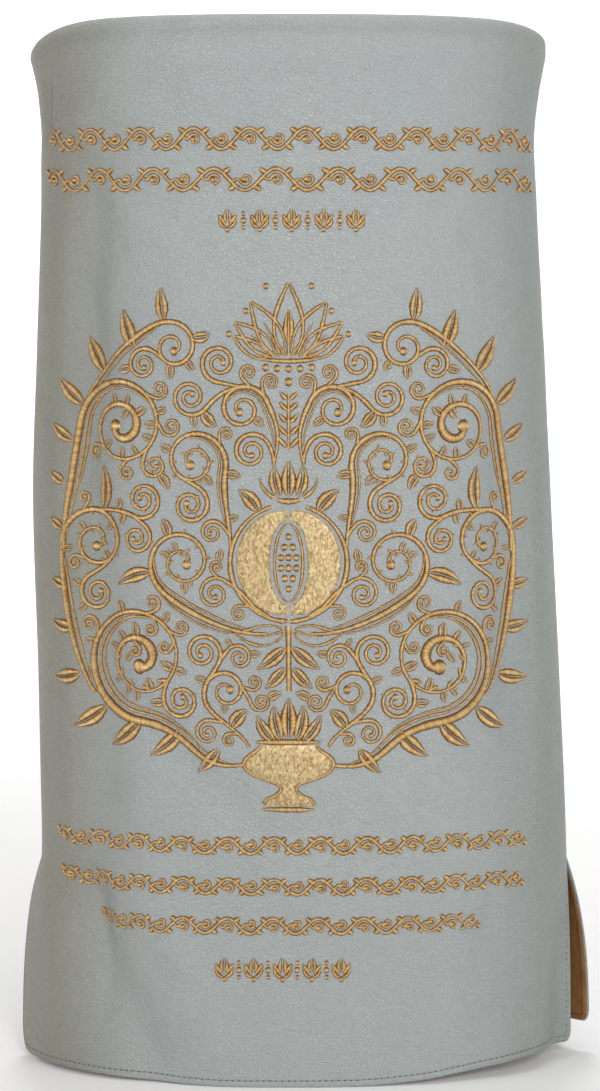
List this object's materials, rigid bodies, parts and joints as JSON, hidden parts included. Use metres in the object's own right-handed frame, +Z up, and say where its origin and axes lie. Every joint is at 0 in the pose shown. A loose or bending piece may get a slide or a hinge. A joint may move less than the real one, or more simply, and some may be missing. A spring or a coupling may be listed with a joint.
{
  "type": "torah mantle",
  "caption": "Lined leather cover that drops over a rolled scroll, with a stiff oval top, round stave holes and open side slits at the hem.",
  "frame": {"origin": "middle of the oval top's underside, where the scroll inside carries the mantle", "axes": "+Z up, +X to the right of the embroidered front, which faces -Y"},
  "size_m": [0.3871, 0.2155, 0.7],
  "materials": {
    "pale_leather": "fine pebbled grain, soft sheen, cool pale grey",
    "brown_suede": "napped suede, matt, warm brown",
    "gold_thread": "satin-stitched rayon embroidery thread, gold"
  },
  "bodies": {
    "root": {"top_panel": "pale_leather", "front_panel": "pale_leather", "back_panel": "pale_leather", "front_lining": "brown_suede", "back_lining": "brown_suede"}
  },
  "joints": []
}
